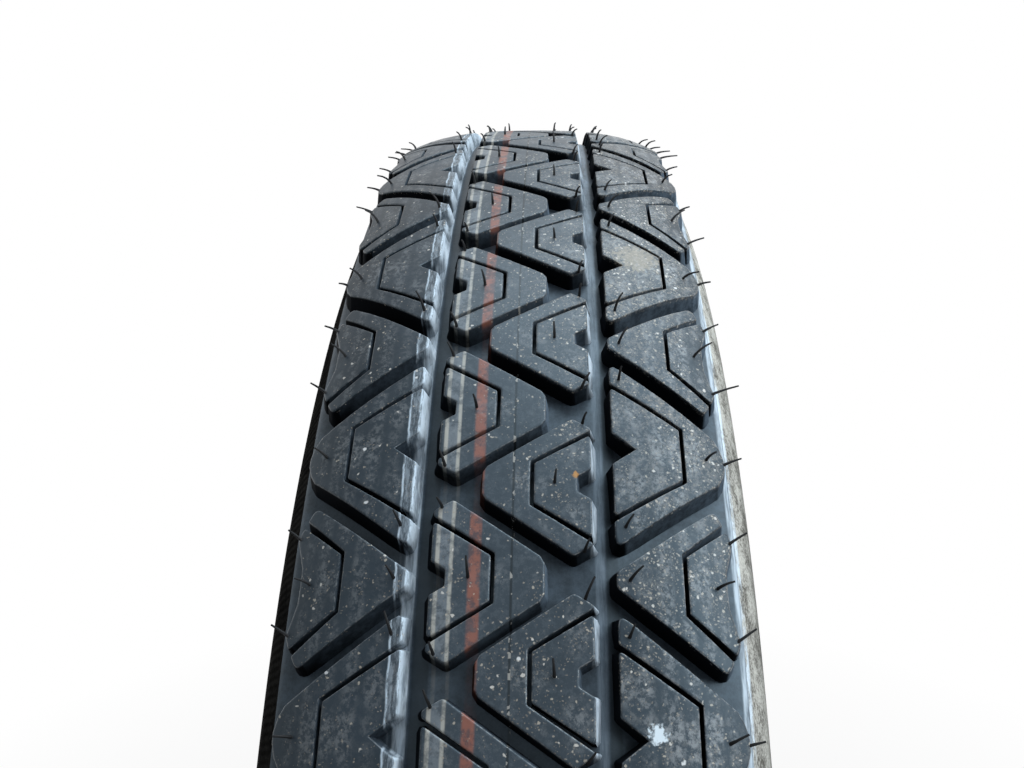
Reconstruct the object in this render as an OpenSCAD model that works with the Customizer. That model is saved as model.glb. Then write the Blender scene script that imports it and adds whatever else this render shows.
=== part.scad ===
// Temporary spare wheel: a narrow tyre with a block tread on a pressed steel wheel with a snap-in valve.
// The axle lies along Y with the outboard face towards -Y, and the origin is the wheel's centre.

/* [Tyre] */
// Outer diameter over the tread's middle
tyre_d = 632; // [620:1:650]
// Section width over the two sidewalls
section_w = 124; // [120:1:130]
// Rubber between the grooves' floor and the inside of the tyre
under_tread = 6.5; // [5:0.5:8]
// Thickness of the sidewalls
sidewall_t = 5.5; // [4:0.5:7]
// Gap between the tyre's beads and the rim
bead_gap = 0.15; // [0.1:0.05:0.3]

/* [Tread] */
// Depth of the grooves
groove_depth = 5.5; // [4:0.5:7]
// Half the width of the middle rib
rib_half_w = 17.8; // [16:0.2:19]
// Width of each circumferential groove at the tread's surface
ring_groove_w = 5.1; // [4:0.1:6]
// Draft of the circumferential grooves' walls
groove_draft = 14; // [8:1:18]
// Distance of the shoulder's edge from the tread's middle
shoulder_edge = 50.1; // [49:0.1:51]
// Number of block pairs round each shoulder
shoulder_pitches = 30; // [28:2:32]
// Width of the grooves between the shoulder blocks
shoulder_groove_w = 4.3; // [3.5:0.1:5]
// Slant of the shoulder grooves from the axle's direction
shoulder_slant = 37.8; // [36:0.1:39]
// Half the length of the small shoulder blocks at their inner ends
small_nose = 1.7; // [1.2:0.1:2.5]
// Slant of the middle rib's grooves from the axle's direction
rib_slant = 34.2; // [32:0.1:36]
// Gap ahead of the rib's left blocks, measured round the tread
ahead_gap = 5.1; // [4.5:0.1:5.5]
// Gap behind the rib's left blocks, measured round the tread
behind_gap = 3; // [2.6:0.1:3.4]
// Half of what the rib's left blocks are longer than its right blocks
left_longer = 0.4; // [0.2:0.1:0.8]
// How far the rib's blocks reach across the tread's middle
rib_tip = 7.2; // [6:0.1:8]
// Draft of the walls between the blocks
block_draft = 8; // [4:1:10]

/* [Wheel] */
// Diameter of the bead seats at the flanges
bead_seat_d = 462; // [458:1:466]
// Rim width between the flanges
rim_w = 88.9; // [86:0.1:92]
// Height of the flanges above the bead seats
flange_h = 17.3; // [16:0.1:18]
// Sheet thickness of the rim
rim_t = 2.6; // [2.5:0.1:3.5]
// Depth of the well below the bead seats
well_depth = 18; // [16:0.5:20]
// Offset of the hub face outboard of the rim's middle
hub_offset = 25; // [20:1:30]
// Sheet thickness of the disc
disc_t = 4; // [3:0.5:4.5]
// Diameter of the hub bore
hub_bore_d = 57.1; // [54:0.1:66]
// Diameter of the bolt circle
bolt_circle_d = 112; // [108:0.5:116]
// Number of wheel bolts
bolt_count = 5; // [5:1:5]
// Diameter of the bolt holes
bolt_hole_d = 15; // [14:0.5:16]
// Radius of the round seats for the bolts
bolt_seat_r = 13; // [12:0.5:14]
// Depth of the round seats in the disc
bolt_seat_depth = 2; // [1.5:0.1:2.5]
// Number of ventilation holes
vent_count = 10; // [8:1:12]
// Diameter of the ventilation holes
vent_d = 30; // [24:1:36]
// Number of weld beads between the disc and the rim
weld_count = 8; // [6:1:10]
// Leg length of the weld beads
weld_leg = 4; // [3:0.5:5]

/* [Valve] */
// Diameter of the valve hole in the rim
valve_hole_d = 11.4; // [11.2:0.1:11.8]
// Largest diameter of the rubber body
valve_bulb_d = 15.2; // [14.5:0.1:16]
// Length of the rubber body above the rim
valve_rubber_len = 23; // [20:0.5:25]
// Length of bare brass above the rubber
valve_thread_len = 10; // [9:0.5:12]
// Diameter of the brass thread over its crests
valve_thread_d = 7.7; // [7.5:0.1:7.9]
// Bore of the stem's chamber for the valve core
chamber_d = 4.4; // [4.2:0.1:4.6]
// Diameter of the valve core's pin
pin_d = 1.2; // [1:0.05:1.4]
// Travel of the valve core's pin
pin_travel = 1.5; // [1:0.1:2]
// Wire diameter of the valve core's spring
spring_wire = 0.3; // [0.25:0.05:0.35]
// Outer diameter of the cap
cap_d = 10; // [9.6:0.1:11]
// Running clearance between the valve's pieces
valve_play = 0.05; // [0.03:0.01:0.08]

/* [Hidden] */
$fa = 3;
$fs = 0.5;

// Points of a path with each inner corner rounded: every entry is [x, y, radius]
arc_steps = 4;
function unit(v) = v / norm(v);
function corner(a, b, c, r) =
    let (u = unit(a - b), v = unit(c - b), half = acos(u * v) / 2)
    let (reach = r / tan(half), mid = b + unit(u + v) * r / sin(half))
    let (from = b + u * reach - mid, to = b + v * reach - mid)
    let (turn = sign(cross(from, to)) * (180 - 2 * half))
    [for (i = [0:arc_steps]) let (t = turn * i / arc_steps)
        mid + [from.x * cos(t) - from.y * sin(t), from.x * sin(t) + from.y * cos(t)]];
function xy(p) = [p.x, p.y];
function rounded(path) = [
    for (i = [0:len(path) - 1])
        each (i == 0 || i == len(path) - 1 || path[i].z == 0)
            ? [xy(path[i])]
            : corner(xy(path[i - 1]), xy(path[i]), xy(path[i + 1]), path[i].z)];

// The same path moved sideways by a distance, to the left of its direction
function left_of(v) = [-v.y, v.x];
function side(path, i) = unit(left_of(path[i + 1] - path[i]));
function shifted(path, d) = [
    for (i = [0:len(path) - 1])
        let (n0 = side(path, max(i - 1, 0)), n1 = side(path, min(i, len(path) - 2)))
        path[i] + d * (n0 + n1) / (1 + n0 * n1)];
function reversed(path) = [for (i = [len(path) - 1:-1:0]) path[i]];
function mirrored(path) = [for (p = path) [p.x, -p.y]];

// A profile in radius and axial distance, turned about the axle
module on_axle() rotate([-90, 0, 0]) children();
module turned(profile) on_axle() rotate_extrude() polygon(profile);

// Tread crown: how far the surface lies under the tyre's largest radius at an axial distance
tyre_r = tyre_d / 2;
crown_square = 1.19e-3;
crown_fourth = 8.55e-7;
function crown(w) = tyre_r - crown_square * w * w - crown_fourth * pow(w, 4);
function on_crown(w, depth = 0) = [crown(w) - depth, w];

// Sidewall: its free height runs from the rim's flange up to the foot of the shoulder
seat_r = bead_seat_d / 2;
seat_taper = 5;
rim_half_w = rim_w / 2;
section_half_w = section_w / 2;
flange_curl_r = 9.5;
flange_top_r = seat_r + flange_h;
curl_r = flange_top_r - flange_curl_r;
curl_w = rim_half_w + flange_curl_r;
shoulder_r = crown(shoulder_edge);
buttress_out = 2.1;
buttress_lean = 0.6;
buttress_band = 4;
buttress_r = shoulder_r - 2 * groove_depth;
buttress_w = shoulder_edge + buttress_out;
wall_h = buttress_r - flange_top_r;
function up_wall(share) = flange_top_r + share * wall_h;
widest_r = up_wall(0.38);
bead_w = 15.5;
bead_face_w = rim_half_w - bead_gap;
toe_w = bead_face_w - bead_w;
toe_t = 2.5;
function seat_at(w) = seat_r + bead_gap - (rim_half_w - w) * tan(seat_taper);
function round_curl(angle, r) = [curl_r + r * sin(angle), curl_w - r * cos(angle)];

// One half of the tyre's outside, from the middle of the crown to the bead's toe
draft_run = groove_depth * tan(groove_draft);
shoulder_start = rib_half_w + ring_groove_w;
shoulder_w = shoulder_edge - shoulder_start;
crown_steps = 4;
crown_half = [
    for (w = [0, rib_half_w / 3, rib_half_w]) on_crown(w),
    on_crown(rib_half_w + draft_run, groove_depth),
    on_crown(shoulder_start - draft_run, groove_depth),
    for (i = [0:crown_steps]) on_crown(shoulder_start + shoulder_w * i / crown_steps),
    [buttress_r + buttress_band, buttress_w - buttress_lean],
    [buttress_r, buttress_w]];
wall_steps = 5;
wall_bulge = section_half_w - buttress_w;
wall_rise = buttress_r - widest_r;
wall_arc_r = (wall_bulge * wall_bulge + wall_rise * wall_rise) / (2 * wall_bulge);
wall_turn = atan2(wall_rise, wall_arc_r - wall_bulge);
wall_half = [for (i = [1:wall_steps - 1]) let (a = wall_turn * (1 - i / wall_steps))
    [widest_r + wall_arc_r * sin(a), section_half_w - wall_arc_r * (1 - cos(a))]];

// Below the widest place the wall turns in towards the flange, with a ledge that lies just over its curl
ledge_clear = 1.5;
ledge_in = 6.5;
ledge_round = 4;
ledge_end = 3.2;
lower_half = rounded([
    [widest_r, section_half_w, 0],
    [up_wall(0.195), section_half_w, 0.165 * wall_h],
    [flange_top_r + ledge_clear, section_half_w - ledge_in, ledge_round],
    [flange_top_r + 4 * bead_gap, curl_w - ledge_end, 0]]);
bead_half = [
    for (a = [56, 38, 20, 0]) round_curl(a, flange_curl_r + bead_gap),
    [seat_at(bead_face_w), bead_face_w],
    [seat_at(toe_w), toe_w]];

// The inside follows the crown, the shoulder, the sidewall and the bead's toe
inner_half = reversed(rounded([
    for (w = [0, shoulder_start]) [crown(w) - groove_depth - under_tread, w, 0],
    [buttress_r - 0.2 * sidewall_t, shoulder_edge - 0.75 * sidewall_t, 0.25 * wall_h],
    [up_wall(0.63), section_half_w - 1.15 * sidewall_t, 0.41 * wall_h],
    [up_wall(0.09), section_half_w - 1.5 * sidewall_t, 0.33 * wall_h],
    [seat_r + 0.7 * flange_h, bead_face_w - 0.7 * bead_w, bead_w / 2],
    [seat_at(toe_w) + toe_t, toe_w, 0]]));
tyre_half = concat(crown_half, wall_half, lower_half, bead_half, inner_half);

// A place on the tread: x along the axle to the right, y round the tread and z out of it
module on_tread(angle) on_axle() rotate([0, 0, -angle]) rotate([180, -90, 0]) children();

// A straight groove along its floor's middle line, with drafted walls, cut to above the tread
over_tread = 3;
module groove(from, to, top_w) {
    run = to - from;
    level = norm([run.x, run.y]);
    floor_w = top_w - 2 * groove_depth * tan(block_draft);
    lip_w = top_w + 2 * over_tread * tan(block_draft);
    high = groove_depth + over_tread;
    translate(from) rotate([0, -atan2(run.z, level), atan2(run.y, run.x)])
        rotate([90, 0, 90]) linear_extrude(norm(run))
            polygon([[-floor_w / 2, 0], [floor_w / 2, 0], [lip_w / 2, high], [-lip_w / 2, high]]);
}

// Shoulder grooves: they run from the circumferential groove out over the shoulder, to both sides of a small block
shoulder_step = 360 / shoulder_pitches;
shoulder_fall = 0.262;
groove_in = shoulder_start - 2;
groove_out = shoulder_edge + 6;
floor_lift = 0.5;
groove_floor = crown(shoulder_start) - groove_depth + floor_lift;
groove_middle = small_nose + shoulder_groove_w / cos(shoulder_slant) / 2;
function round_at(w) = groove_middle + (w - shoulder_start) * tan(shoulder_slant);
function shoulder_point(w, turn) = [w, turn * round_at(w), groove_floor - shoulder_fall * (w - groove_in)];
module shoulder_grooves() {
    for (i = [0:shoulder_pitches - 1], hand = [-1, 1], turn = [-1, 1])
        on_tread(i * shoulder_step) mirror([hand < 0 ? 1 : 0, 0, 0])
            groove(shoulder_point(groove_in, turn), shoulder_point(groove_out, turn), shoulder_groove_w);
}

// Rib grooves: two to each left block, slanted towards each other, and the room past each block's tip
rib_step = shoulder_step * 2 / 3;
rib_floor = crown(rib_half_w / 2) - groove_depth;
rib_end = rib_half_w + ring_groove_w / 3;
rib_rise = tan(rib_slant);
one_degree = PI * tyre_r / 180;
pair_half = (rib_step * one_degree - ahead_gap - behind_gap) / 2;
left_half = pair_half / 2 + left_longer;
right_half = pair_half / 2 - left_longer;
right_lead = (pair_half + ahead_gap) / one_degree;
shallower = 0.4;
deeper = 0.3;
tip_reach = 1;
module rib_groove(turn, gap, lift) {
    middle = left_half + gap / 2;
    groove([-rib_end, turn * (middle + rib_end * rib_rise), rib_floor + lift],
        [rib_end, turn * (middle - rib_end * rib_rise), rib_floor + lift], gap * cos(rib_slant));
}
module tip_room(half) {
    base = half - rib_tip * rib_rise + tip_reach;
    translate([0, 0, rib_floor - deeper]) linear_extrude(groove_depth + over_tread)
        polygon([[rib_tip, -base], [rib_tip + base / rib_rise, 0], [rib_tip, base]]);
}
module rib_grooves() {
    for (angle = [0:rib_step:359]) {
        on_tread(angle) rib_groove(1, ahead_gap, 0);
        on_tread(angle) rib_groove(-1, behind_gap, shallower);
        on_tread(angle) tip_room(left_half);
        on_tread(angle + right_lead) mirror([1, 0, 0]) tip_room(right_half);
    }
}

module tyre() {
    color("#3b3f45") difference() {
        turned(concat(tyre_half, reversed(mirrored(tyre_half))));
        shoulder_grooves();
        rib_grooves();
    }
}

// Rim: the tyre's side of the rolled sheet from one flange lip to the other
lip_turn = 118;
lip_steps = 5;
hump_w = 27.5;
hump_run = 1.3;
hump_h = 0.8;
well_r = seat_r - well_depth;
well_half_w = 12;
well_round = 5;
mouth_w = 25.5;
mouth_drop = 1.8;
mouth_corner = [seat_r - mouth_drop, mouth_w];
function on_seat(w, lift) = [seat_r - (rim_half_w - w) * tan(seat_taper) + lift, w, 0];
barrel_half = rounded([
    [well_r, 0, 0],
    [well_r, well_half_w, well_round],
    [mouth_corner.x, mouth_corner.y, 0],
    on_seat(hump_w, hump_h),
    on_seat(hump_w + hump_run, 0),
    on_seat(rim_half_w, 0),
    for (i = [0:lip_steps])
        let (p = round_curl(lip_turn * i / lip_steps, flange_curl_r)) [p.x, p.y, 0]]);
function without_first(path) = [for (i = [1:len(path) - 1]) path[i]];
barrel_path = concat(reversed(mirrored(barrel_half)), without_first(barrel_half));
module sheet(path, t) turned(concat(path, reversed(shifted(path, -t))));
module rim_barrel() {
    color("#1d1f22") difference() {
        sheet(barrel_path, -rim_t);
        on_valve() translate([0, 0, -3 * rim_t]) cylinder(h = 6 * rim_t, d = valve_hole_d);
    }
}

// Disc: the side that faces the hub, from the bore's outboard lip to the flange inside the well
bore_lip = 14;
bore_bend = disc_t + 1.5;
pad_r = bolt_circle_d / 2 + 21;
pad_bend = 7;
crest_h = 18;
crest_w = hub_offset + crest_h;
crest_in_r = pad_r + 15;
crest_out_r = pad_r + 40;
crest_fall = 4;
disc_gap = 0.05;
disc_flange_r = well_r - rim_t - disc_gap - disc_t;
disc_flange_w = 9;
slope_foot_r = disc_flange_r - 18;
slope_foot_w = disc_flange_w + 11;
disc_path = rounded([
    [hub_bore_d / 2, -hub_offset - bore_lip, 0],
    [hub_bore_d / 2, -hub_offset, bore_bend],
    [pad_r, -hub_offset, pad_bend],
    [crest_in_r, -crest_w, 12],
    [crest_out_r, crest_fall - crest_w, 40],
    [slope_foot_r, -slope_foot_w, 16],
    [disc_flange_r, -disc_flange_w, disc_flange_w],
    [disc_flange_r, disc_flange_w, 0]]);
vent_circle_r = 152;
module bolt_hole() {
    face = -hub_offset - disc_t;
    bolt_hole_r = bolt_hole_d / 2;
    seat_centre = face + bolt_seat_depth - sqrt(bolt_seat_r * bolt_seat_r - bolt_hole_r * bolt_hole_r);
    translate([0, face - disc_t, bolt_circle_d / 2]) rotate([-90, 0, 0]) cylinder(h = 3 * disc_t, r = bolt_hole_r);
    translate([0, seat_centre, bolt_circle_d / 2]) sphere(r = bolt_seat_r);
}
module around_axle(count) for (i = [0:count - 1]) rotate([0, i * 360 / count, 0]) children();
module wheel_disc() {
    color("#1d1f22") difference() {
        sheet(disc_path, disc_t);
        around_axle(bolt_count) bolt_hole();
        around_axle(vent_count) rotate([0, 180 / vent_count, 0])
            translate([0, 0, vent_circle_r]) rotate([90, 0, 0]) cylinder(h = 2 * crest_w, d = vent_d);
    }
}

// Weld beads in the corner between the disc's flange and the well
weld_arc = 24;
module disc_welds() {
    seat = [well_r - rim_t - disc_gap, disc_flange_w + disc_gap];
    color("#2a2c2f") for (i = [0:weld_count - 1])
        on_axle() rotate([0, 0, i * 360 / weld_count]) rotate_extrude(angle = weld_arc)
            polygon([seat, seat + [0, weld_leg], seat - [weld_leg, 0]]);
}

// Valve: its own height runs from the rim's surface in the wheel to the tip, tilted outboard of the axle
valve_tilt = atan2(mouth_corner.x - well_r, mouth_corner.y - well_half_w);
valve_seat_r = (mouth_corner.x + well_r) / 2 - rim_t * cos(valve_tilt);
valve_seat_w = (mouth_corner.y + well_half_w) / 2 + rim_t * sin(valve_tilt);
module on_valve() translate([0, -valve_seat_w, -valve_seat_r]) rotate([valve_tilt, 0, 0]) children();
module valve_turned(profile) on_valve() rotate_extrude() polygon(profile);
stem_r = 3.1;
stem_foot = -9;
thread_r = valve_thread_d / 2;
stem_top = valve_rubber_len + valve_thread_len;
neck_r = valve_hole_d / 2 - valve_play;
bulb_r = valve_bulb_d / 2;
rubber_top_r = 5.6;
module valve_body() {
    color("#222324") valve_turned([
        [stem_r + valve_play, stem_foot - 2.5],
        [stem_r + 2, stem_foot - 2.5],
        [bulb_r + 1.6, -rim_t - 3.2],
        [bulb_r + 1.9, -rim_t - 2.4],
        [bulb_r + 1.9, -rim_t - 2 * valve_play],
        [neck_r, -rim_t - 2 * valve_play],
        [neck_r, 2 * valve_play],
        [bulb_r, 2 * valve_play],
        [bulb_r, 7],
        [rubber_top_r + 0.5, valve_rubber_len - 2],
        [rubber_top_r, valve_rubber_len],
        [thread_r + valve_play, valve_rubber_len],
        [thread_r + valve_play, valve_rubber_len - 1.6],
        [stem_r + valve_play, valve_rubber_len - 1.8]]);
}

// Stem: bored for the air, with a chamber, a cone for the core's gasket and a threaded mouth
air_r = 1.65;
chamber_r = chamber_d / 2;
chamber_foot = valve_rubber_len - 15;
cone_foot = stem_top - 9.6;
cone_top = stem_top - 8.4;
mouth_r = chamber_r + 0.45;
module valve_stem() {
    color("#c9a552") valve_turned([
        [air_r, stem_foot],
        [stem_r, stem_foot],
        [stem_r, valve_rubber_len - 1.6],
        [thread_r, valve_rubber_len - 1.4],
        [thread_r, stem_top - 0.5],
        [thread_r - 0.5, stem_top],
        [mouth_r, stem_top],
        [mouth_r, cone_top],
        [chamber_r, cone_foot],
        [chamber_r, chamber_foot],
        [air_r, chamber_foot]]);
}

// Core: a barrel hangs under a screwed plug, and a sprung pin holds its seal against the barrel's foot
barrel_r = 1.8;
spring_room_r = 1.3;
collar_r = barrel_r + 0.25;
cup_h = 3;
pin_foot_h = 0.6;
barrel_foot = chamber_foot + pin_travel + 0.85 + pin_foot_h + cup_h + valve_play;
barrel_lip = 0.8;
barrel_top = cone_top + 1.6;
pin_r = pin_d / 2;
pin_pass_r = pin_r + 0.3;
module valve_core_plug() {
    color("#b9964a") on_valve() difference() {
        translate([0, 0, barrel_top + valve_play]) union() {
            cylinder(h = 4.2, r = mouth_r - valve_play);
            cylinder(h = 5.4, r = 1.9);
        }
        translate([0, 0, barrel_top - 1]) cylinder(h = 8, r = pin_pass_r);
        for (a = [0, 180]) rotate([0, 0, a]) translate([1.3, -3, barrel_top + 4.5]) cube([3, 6, 3]);
    }
}
module valve_core_barrel() {
    color("#c9a552") valve_turned([
        [pin_pass_r, barrel_foot],
        [barrel_r, barrel_foot],
        [barrel_r, barrel_top - 1],
        [collar_r, barrel_top - 1],
        [collar_r, barrel_top],
        [pin_pass_r, barrel_top],
        [pin_pass_r, barrel_top - barrel_lip],
        [spring_room_r, barrel_top - barrel_lip],
        [spring_room_r, barrel_foot + barrel_lip],
        [pin_pass_r, barrel_foot + barrel_lip]]);
}
module valve_core_gasket() {
    color("#d8d8d2") valve_turned([
        [barrel_r + valve_play / 2, cone_foot - 0.4],
        [chamber_r - valve_play, cone_foot - 0.4],
        [chamber_r - valve_play, cone_foot],
        [mouth_r - 2 * valve_play, cone_top],
        [mouth_r - 2 * valve_play, barrel_top - 1 - valve_play],
        [barrel_r + valve_play / 2, barrel_top - 1 - valve_play]]);
}
pin_top = stem_top - 0.7;
seal_top = barrel_foot - valve_play;
cup_foot = seal_top - cup_h;
pin_collar_foot = barrel_top - barrel_lip - 1.5;
pin_collar_h = 0.6;
module valve_core_pin() {
    color("#c9a552") on_valve() union() {
        translate([0, 0, cup_foot - pin_foot_h]) cylinder(h = pin_top - cup_foot + pin_foot_h, r = pin_r);
        translate([0, 0, cup_foot - pin_foot_h]) cylinder(h = pin_foot_h - valve_play, r = pin_r + 0.35);
        translate([0, 0, pin_collar_foot]) cylinder(h = pin_collar_h, r = spring_room_r - 2 * valve_play);
    }
}
cup_r = 1.75;
cup_wall = 0.3;
module valve_core_cup() {
    color("#b9964a") valve_turned([
        [pin_r + valve_play / 2, cup_foot],
        [cup_r, cup_foot],
        [cup_r, seal_top - 0.6],
        [cup_r - cup_wall, seal_top - 0.6],
        [cup_r - cup_wall, cup_foot + 0.7],
        [pin_r + valve_play / 2, cup_foot + 0.7]]);
}
module valve_core_seal() {
    color("#1c1c1c") valve_turned([
        [pin_r + valve_play / 2, cup_foot + 0.7 + valve_play],
        [cup_r - cup_wall - valve_play, cup_foot + 0.7 + valve_play],
        [cup_r - cup_wall - valve_play, seal_top],
        [pin_r + valve_play / 2, seal_top]]);
}

// Spring: round wire wound as a helix between the barrel's lip and the pin's collar
spring_turns = 9;
spring_steps = 14;
spring_sides = 6;
spring_r = (pin_r + spring_room_r) / 2;
spring_foot = barrel_foot + barrel_lip + spring_wire / 2 + valve_play;
spring_head = pin_collar_foot - spring_wire / 2 - valve_play;
module valve_core_spring() {
    rings = spring_turns * spring_steps;
    points = [for (i = [0:rings], k = [0:spring_sides - 1])
        let (a = 360 * i / spring_steps, b = 360 * k / spring_sides)
        let (r = spring_r + spring_wire / 2 * cos(b))
        [r * cos(a), r * sin(a), spring_foot + (spring_head - spring_foot) * i / rings + spring_wire / 2 * sin(b)]];
    sides = [for (i = [0:rings - 1], k = [0:spring_sides - 1])
        let (a = i * spring_sides + k, b = i * spring_sides + (k + 1) % spring_sides)
        [a, a + spring_sides, b + spring_sides, b]];
    ends = [[for (k = [0:spring_sides - 1]) k],
        [for (k = [spring_sides - 1:-1:0]) rings * spring_sides + k]];
    color("#a9adb2") on_valve() polyhedron(points, concat(sides, ends));
}

// Cap: closed at its tip, with a bore that fits the thread, grip flutes and a seal inside its top
cap_r = cap_d / 2;
cap_foot = valve_rubber_len + 0.6;
cap_top = stem_top + 3.4;
cap_bore_r = thread_r + valve_play;
seal_gap = 0.05;
seal_t = 1.2;
flute_count = 12;
flute_r = 0.8;
module valve_cap() {
    color("#26272a") on_valve() difference() {
        rotate_extrude() polygon([
            [0, cap_top],
            [cap_r - 1.2, cap_top],
            [cap_r, cap_top - 1.2],
            [cap_r, cap_foot + 0.4],
            [cap_r - 0.4, cap_foot],
            [cap_bore_r, cap_foot],
            [cap_bore_r, stem_top + seal_t + 2 * seal_gap],
            [0, stem_top + seal_t + 2 * seal_gap]]);
        for (i = [0:flute_count - 1])
            rotate([0, 0, i * 360 / flute_count]) translate([cap_r + 0.4, 0, cap_foot + 2])
                cylinder(h = cap_top, r = flute_r);
    }
}
module valve_cap_seal() {
    color("#3a3a3a") on_valve() translate([0, 0, stem_top + seal_gap]) difference() {
        cylinder(h = seal_t, r = cap_bore_r - valve_play / 2);
        translate([0, 0, -1]) cylinder(h = seal_t + 2, r = 1.5);
    }
}

tyre();
rim_barrel();
wheel_disc();
disc_welds();
valve_body();
valve_stem();
valve_core_plug();
valve_core_barrel();
valve_core_gasket();
valve_core_pin();
valve_core_cup();
valve_core_seal();
valve_core_spring();
valve_cap();
valve_cap_seal();
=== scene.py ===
"""Looks of the spare wheel: its moulded tread, its steel wheel and its valve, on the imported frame."""
import math
import random

import bmesh
import bpy
import numpy as np
from mathutils import Matrix, Vector
from mathutils.geometry import tessellate_polygon


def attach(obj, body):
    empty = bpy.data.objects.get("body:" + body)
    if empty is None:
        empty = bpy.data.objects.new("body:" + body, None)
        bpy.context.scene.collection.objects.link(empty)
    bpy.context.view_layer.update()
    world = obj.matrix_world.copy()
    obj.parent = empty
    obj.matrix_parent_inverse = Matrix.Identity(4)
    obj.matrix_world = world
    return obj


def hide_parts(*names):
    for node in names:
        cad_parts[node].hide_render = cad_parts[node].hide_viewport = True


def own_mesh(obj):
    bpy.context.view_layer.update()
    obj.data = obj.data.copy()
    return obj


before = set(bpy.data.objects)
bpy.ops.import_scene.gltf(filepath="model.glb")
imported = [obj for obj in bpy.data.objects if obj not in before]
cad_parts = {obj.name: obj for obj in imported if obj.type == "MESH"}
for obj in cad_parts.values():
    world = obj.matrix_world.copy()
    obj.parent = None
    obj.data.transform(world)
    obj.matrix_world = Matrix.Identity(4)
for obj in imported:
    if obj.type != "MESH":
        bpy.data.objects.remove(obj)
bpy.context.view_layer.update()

MM = 0.001

# Tyre sizes in millimetres
# w runs along the axle from the tread's middle, t round the tread and depth towards the axle.
TYRE_R = 316.0
RIB_HALF_W = 17.8
RING_GROOVE_W = 5.1
GROOVE_DEPTH = 5.5
# The crown's fall by w squared and by its fourth power
CROWN_SQUARE = 1.19e-3
CROWN_FOURTH = 8.55e-7
# The grooves' floor falls away on the shoulders: its lift and the lead at their inner edge, and its slope
FLOOR_LIFT = 0.5
FLOOR_LEAD = 2
FLOOR_SLOPE = 0.262
RING_DRAFT = math.tan(math.radians(14))
BLOCK_DRAFT = math.tan(math.radians(8))
SHOULDER_START = RIB_HALF_W + RING_GROOVE_W
SHOULDER_EDGE = 50.1
SHOULDER_PITCHES = 30
SHOULDER_GROOVE_W = 4.3
SHOULDER_SLANT = math.radians(37.8)
SHOULDER_RISE = math.tan(SHOULDER_SLANT)
RIB_RISE = math.tan(math.radians(34.2))
RIB_TIP = 7.2
LEFT_HALF = 9.4
RIGHT_HALF = 8.6
RIGHT_LEAD = math.radians(4.19)
SHOULDER_STEP = math.tau / SHOULDER_PITCHES
RIB_STEP = SHOULDER_STEP * 2 / 3
PITCH = math.tau * TYRE_R / SHOULDER_PITCHES
SIPE_HALF_W = 0.45
# How far the blocks' feet reach into the carcass
SUNK = 0.4
# Inset and depth of each ring of a block's rounded crest, from the top down
CREST_RINGS = ((0.6, 0), (0.3, 0), (0.09, 0.08), (0, 0.3))
# Largest share of an edge that a rounded corner takes
CORNER_SHARE = 0.45
# Below this share a corner is too sharp to be mitred
MITRE_LIMIT = 0.3


def crown(w):
    """Radius of the tread's surface."""
    return TYRE_R - CROWN_SQUARE * w * w - CROWN_FOURTH * w ** 4


def floor_radius(w):
    """Radius of the grooves' floor."""
    w = np.abs(w)
    middle = crown(RIB_HALF_W / 2) - GROOVE_DEPTH
    outer = crown(SHOULDER_START) - GROOVE_DEPTH + FLOOR_LIFT
    outer = outer - FLOOR_SLOPE * (w - SHOULDER_START + FLOOR_LEAD)
    return np.minimum(middle, outer)


# Meshes


def new_piece(name, verts, faces, material, smooth_angle=None):
    """A mesh object from points in metres."""
    mesh = bpy.data.meshes.new(name)
    mesh.from_pydata(verts, [], faces)
    mesh.validate()
    mesh.update()
    if smooth_angle is not None:
        mesh.shade_smooth()
        mesh.set_sharp_from_angle(angle=math.radians(smooth_angle))
    mesh.materials.append(material)
    piece = bpy.data.objects.new(name, mesh)
    bpy.context.scene.collection.objects.link(piece)
    return piece


def rounded(path, steps=3):
    """A closed path with rounded corners, from (x, y, radius, draft of the edge to the next corner)."""
    out = []
    count = len(path)
    for i in range(count):
        x, y, radius, draft = path[i]
        before = path[i - 1]
        after = path[(i + 1) % count]
        here = Vector((x, y))
        back = Vector((before[0], before[1])) - here
        ahead = Vector((after[0], after[1])) - here
        if radius == 0:
            out.append((x, y, draft))
            continue
        back_len, ahead_len = back.length, ahead.length
        back.normalize()
        ahead.normalize()
        half = back.angle(ahead) / 2
        reach = min(radius / math.tan(half), back_len * CORNER_SHARE, ahead_len * CORNER_SHARE)
        start, end = here + back * reach, here + ahead * reach
        for k in range(steps + 1):
            s = k / steps
            p = start * (1 - s) ** 2 + here * 2 * s * (1 - s) + end * s * s
            out.append((p.x, p.y, before[3] * (1 - s) + draft * s))
    return out


def offset(points, distances):
    """Moves each edge of a closed path out by its distance; the path runs anticlockwise."""
    count = len(points)
    out = []
    for i in range(count):
        a, b, c = points[i - 1], points[i], points[(i + 1) % count]
        u = Vector((b[0] - a[0], b[1] - a[1])).normalized()
        v = Vector((c[0] - b[0], c[1] - b[1])).normalized()
        n0, n1 = Vector((u.y, -u.x)), Vector((v.y, -v.x))
        d0, d1 = distances[i - 1], distances[i]
        share = 1 + n0.dot(n1)
        if share < MITRE_LIMIT:
            move = (n0 * d0 + n1 * d1) / 2
        else:
            across = (n0 + n1) / share
            move = across * (d0 + d1) / 2
        out.append((b[0] + move.x, b[1] + move.y))
    return out


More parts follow.
